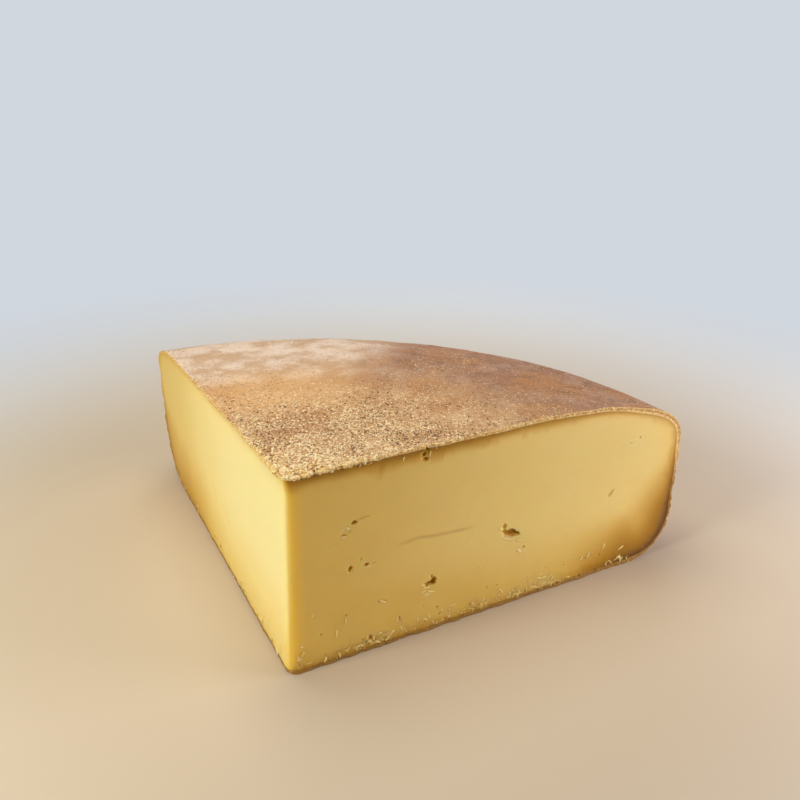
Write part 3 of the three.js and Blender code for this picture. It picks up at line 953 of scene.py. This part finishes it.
def cheese_material():
    g = Graph("cheese")
    under = g.attribute("under_crust")
    behind = g.attribute("behind_face")
    crust = g.math("ADD", under, g.math("MULTIPLY", g.noise(0.9, 3), 0.5))
    # inside marks the eye hollows, which the paste colour darkens as painted shade
    inside = g.math("MULTIPLY", g.step(behind, 0.4, 1.6), g.step(under, 1.2, 1.8))
    paste = paste_colour(g, inside)
    rim = g.mix(g.step(crust, 1.05, 1.35), crust_colour(g, crust), paste)
    on_top = g.math("MULTIPLY", g.step(crust, 0.55, 0.35), g.step(behind, 0.2, 0.5))
    in_rind = g.math("MAXIMUM", on_top, g.step(behind, 0.4, 0.7))
    in_rind = g.math("MULTIPLY", in_rind, g.step(under, 1.0, 0.8))
    in_crust = g.step(crust, 1.5, 1.05)
    shaded = g.math("MULTIPLY", inside, 0.45)
    g.set(
        base_color=g.mix(in_rind, rim, rind_colour(g)),
        subsurface_weight=g.step(g.math("MAXIMUM", in_crust, shaded), 0, 1, 1, 0.12),
        roughness=g.step(in_crust, 0, 1, 0.42, 0.72),
        subsurface_radius=(1.0, 0.75, 0.2),
        subsurface_scale=0.0045,
        specular_ior_level=0.4,
    )
    drag = g.noise(1.6, 3, 0.6, stretch=(1, 1, 3))
    fine = g.bump(drag, 0.05, 0.6)
    sandy = g.math("MULTIPLY", g.math("SUBTRACT", g.noise(0.7, 4, 0.65), 0.5), in_crust)
    g.set(normal=g.bump(sandy, 0.35, 1.0, fine))
    return g.material


def bits_material(name, dark, middle, pale):
    """Bits of rind or paste whose colour follows their tint"""
    g = Graph(name)
    tint = g.attribute("tint")
    tan = g.mix(g.step(tint, 0.05, 0.3), dark, middle)
    g.set(
        base_color=g.mix(g.step(tint, 0.35, 0.8), tan, pale),
        roughness=0.6,
        specular_ior_level=0.35,
    )
    g.set(normal=g.bump(g.noise(0.35, 2), 0.05))
    return g.material


# The cheese

body = make_body()
grains = bits_material("grains", colour(128, 82, 50), colour(216, 164, 108), colour(255, 234, 190))
crumbs = bits_material("crumbs", colour(206, 150, 84), colour(240, 200, 122), colour(255, 234, 176))
flakes = bits_material("flakes", colour(204, 158, 70), colour(228, 190, 102), colour(248, 220, 142))
pieces = [
    (body, cheese_material()),
    (make_grains(body), grains),
    (make_crumbs(body), crumbs),
    (make_flakes(body), flakes),
]
for piece, material in pieces:
    settle(piece)
    piece.data.materials.clear()
    piece.data.materials.append(material)
    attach(piece, "root")
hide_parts("quarter_wheel")


# Floor, lights and camera

def make_floor():
    """A pale floor that fades into the backdrop, painted lighter away from the middle to make up for the
    lamps' falloff
    """
    rings, turns, reach = 24, 96, 1.6
    angles = np.linspace(0, 2 * math.pi, turns, endpoint=False)
    radii = reach * np.linspace(0, 1, rings + 1)[1:]
    points = [(0, 0, 0)] + [(r * math.cos(a), r * math.sin(a), 0) for r in radii for a in angles]
    index = 1 + np.arange(rings * turns).reshape(rings, turns)
    after = np.roll(index, -1, axis=1)
    middle = np.stack([np.zeros(turns, int), index[0], after[0]], axis=1)
    bands = np.stack([index[:-1], index[1:], after[1:], after[:-1]], axis=2).reshape(-1, 4)
    floor = mesh_object("floor", points, [middle, bands])
    g = Graph("floor")
    split = g.add("ShaderNodeSeparateXYZ")
    g.put(split.inputs[0], g.place)
    across = g.math("POWER", split.outputs[0], 2.0)
    away = g.math("SQRT", g.math("ADD", across, g.math("POWER", split.outputs[1], 2.0)))
    # Painted light: the floor darker near the middle and lighter away from it, against the lamps' falloff
    floor_painted_light = g.mix(g.step(away, 0.12, 0.4), colour(208, 189, 165), colour(255, 248, 238))
    g.set(base_color=floor_painted_light, roughness=0.7, specular_ior_level=0.2)
    g.set(alpha=g.step(away, 0.14, 0.42, 1.0, 0.0))
    floor.data.materials.append(g.material)


def make_light(name, place, aim, size, power, tone):
    data = bpy.data.lights.new(name, "AREA")
    data.shape = "RECTANGLE"
    data.size, data.size_y = size
    data.energy = power
    data.color = tone
    light = bpy.data.objects.new(name, data)
    light.location = place
    back = light.location - type(light.location)(aim)
    light.rotation_euler = back.to_track_quat("Z", "Y").to_euler()
    light.visible_camera = False
    bpy.context.scene.collection.objects.link(light)


def make_world():
    world = bpy.data.worlds.new("world")
    world.use_nodes = True
    nodes, links = world.node_tree.nodes, world.node_tree.links
    glow = nodes["Background"]
    glow.inputs["Color"].default_value = (0.86, 0.92, 1.0, 1)
    glow.inputs["Strength"].default_value = 0.02
    wall = nodes.new("ShaderNodeBackground")
    wall.inputs["Color"].default_value = colour(209, 215, 223)
    seen = nodes.new("ShaderNodeLightPath")
    both = nodes.new("ShaderNodeMixShader")
    links.new(seen.outputs["Is Camera Ray"], both.inputs[0])
    links.new(glow.outputs[0], both.inputs[1])
    links.new(wall.outputs[0], both.inputs[2])
    links.new(both.outputs[0], nodes["World Output"].inputs["Surface"])
    bpy.context.scene.world = world


def make_camera():
    data = bpy.data.cameras.new("camera")
    data.sensor_width = 36
    data.lens = CAMERA_FOCAL * data.sensor_width
    data.clip_start = 0.01
    camera = bpy.data.objects.new("camera", data)
    x, y, z = CAMERA_PLACE
    camera.location = ((EDGE_X + x) * MM, (EDGE_Y + y) * MM, z * MM)
    camera.rotation_euler = (math.radians(90 - CAMERA_DOWN), 0, math.radians(CAMERA_TURN))
    bpy.context.scene.collection.objects.link(camera)
    bpy.context.scene.camera = camera


make_floor()
make_light("front", (-0.24, -0.36, 0.26), (0, 0, 0.03), (0.2, 0.2), 1.52, (1.0, 0.99, 0.86))
make_light("left", (-0.24, -0.36, 0.12), (0, 0, 0.03), (0.2, 0.2), 0.2, (0.75, 0.88, 1.0))
make_light("right", (0.42, 0.08, 0.12), (0.06, 0, 0.03), (0.25, 0.25), 1.6, (0.88, 0.86, 0.94))
make_light("top", (-0.10, 0.05, 0.50), (0, 0, 0.03), (0.3, 0.3), 1.26, (1.0, 0.99, 0.93))
make_light("back", (-0.05, 0.52, 0.30), (0, 0, 0.03), (0.35, 0.35), 0.75, (1.0, 0.98, 0.95))
make_world()
make_camera()
bpy.context.scene.view_settings.view_transform = "Standard"
